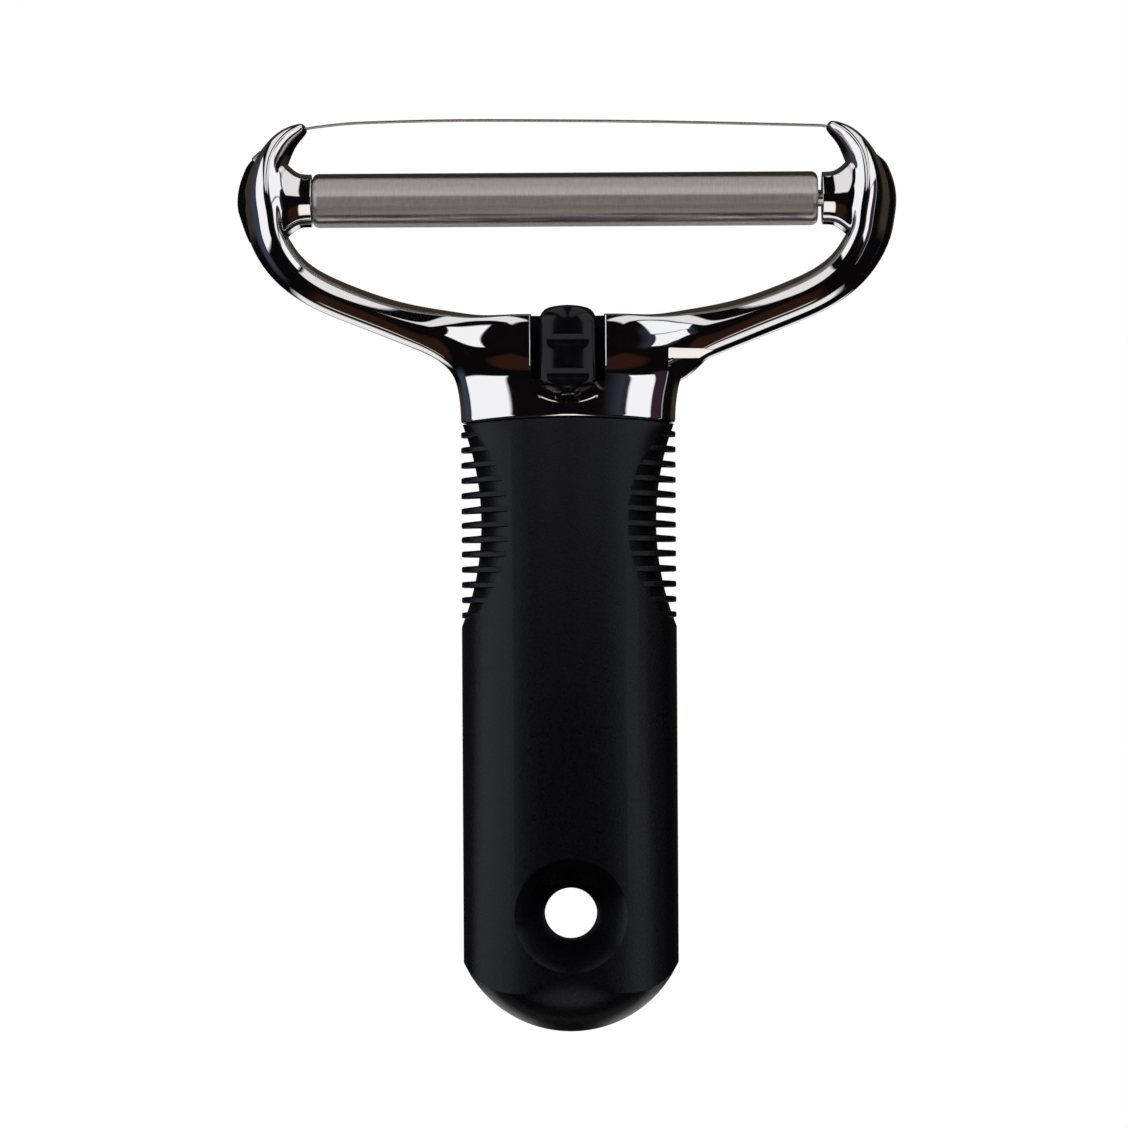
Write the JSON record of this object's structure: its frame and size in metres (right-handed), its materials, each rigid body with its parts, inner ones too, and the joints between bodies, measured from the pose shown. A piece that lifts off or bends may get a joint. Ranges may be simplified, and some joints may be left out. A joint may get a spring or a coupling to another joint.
{
  "type": "wire cheese slicer",
  "caption": "Hand-held wire cheese slicer: chromed U-shaped head with a turning steel roller, a tensioned cutting wire, a tension button and a thick soft grip with a hang hole.",
  "frame": {"origin": "centre of the hang hole, halfway through the handle", "axes": "+Z from the handle up to the cutting wire, X along the wire and the roller, front facing -Y"},
  "size_m": [0.119, 0.0212, 0.1643],
  "materials": {
    "chrome_plate": "mirror-bright chrome plate on a die casting",
    "soft_grip": "satin soft-touch elastomer, near black",
    "core_plastic": "moulded",
    "bush_plastic": "moulded, slippery",
    "button_plastic": "glossy moulded black",
    "brushed_steel": "brushed round the roller",
    "plain_steel": "drawn steel",
    "wire_steel": "hard drawn stainless wire"
  },
  "bodies": {
    "frame": {"head_frame": "chrome_plate", "grip_sleeve": "soft_grip", "handle_core": "core_plastic", "tang_pins": "plain_steel", "roller_axle": "plain_steel", "cutting_wire": "wire_steel", "wire_anchor_bead": "plain_steel", "wire_end_bead": "plain_steel", "tension_spring": "plain_steel", "button_stop_pin": "plain_steel"},
    "roller": {"roller_tube": "brushed_steel", "roller_bush_left": "bush_plastic", "roller_bush_right": "bush_plastic"},
    "button": {"tension_button": "button_plastic", "hook_plate": "plain_steel"}
  },
  "joints": [
    {"name": "roller_spin", "type": "hinge", "parent": "frame", "child": "roller", "pos_m": [0, 0, 0.1284], "axis": [1, 0, 0], "continuous": true},
    {"name": "button_push", "type": "slide", "parent": "frame", "child": "button", "axis": [0, 0, 1], "range_m": [-0.002, 0], "stiffness_N_per_m": 4000, "springref_m": 0.004, "deforming": ["tension_spring"]}
  ]
}
